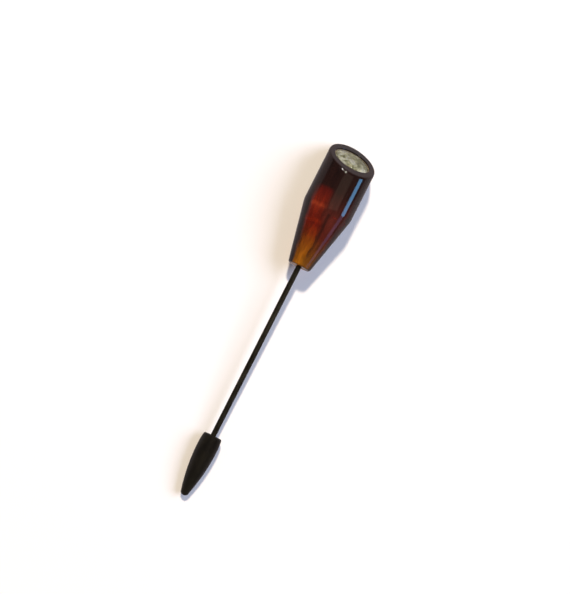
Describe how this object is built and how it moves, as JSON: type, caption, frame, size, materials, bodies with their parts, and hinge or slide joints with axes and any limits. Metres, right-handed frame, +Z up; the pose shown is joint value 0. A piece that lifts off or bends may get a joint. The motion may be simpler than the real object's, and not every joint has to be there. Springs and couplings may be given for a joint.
{
  "type": "hat pin",
  "caption": "Short hat pin with a tapered, obliquely cut phenolic head holding a round stone, a steel shank, and a bullet-shaped point protector that pulls off.",
  "frame": {"origin": "centre of the underside of the bounding box, on the surface that the pin lies on", "axes": "+X along the pin towards its head, parallel to the surface; +Z up, on the side that the oblique top faces; +Y across the pin. The pin's own axis rises 3.3 degrees towards +X, because it rests on the head's shoulder and the protector's belly."},
  "size_m": [0.0856, 0.0114, 0.0119],
  "materials": {
    "root_beer_phenolic": "polished, translucent from amber at the narrow end to near-black at the top",
    "paste_stone": "faceted and polished, clear with a faint green tint",
    "stone_foil": "aged silver foil",
    "cement": "matt, set hard",
    "dark_steel": "drawn and darkened, half gloss",
    "dark_phenolic": "near-black brown, gloss worn a little",
    "brass": "dull brass"
  },
  "bodies": {
    "pin": {"head_body": "root_beer_phenolic", "stone": "paste_stone", "stone_foil": "stone_foil", "stone_cement": "cement", "shank": "dark_steel", "shank_cement": "cement"},
    "grip": {"grip_sleeve": "brass"},
    "protector": {"protector_shell": "dark_phenolic", "protector_liner": "brass"}
  },
  "joints": [
    {"name": "protector_pull_off", "type": "slide", "parent": "pin", "child": "grip", "axis": [-0.9983, 0, -0.0577], "range_m": [0, 0.016]},
    {"name": "protector_turn", "type": "hinge", "parent": "grip", "child": "protector", "pos_m": [-0.02882, 0, 0.00251], "axis": [0.9983, 0, 0.0577], "continuous": true}
  ]
}
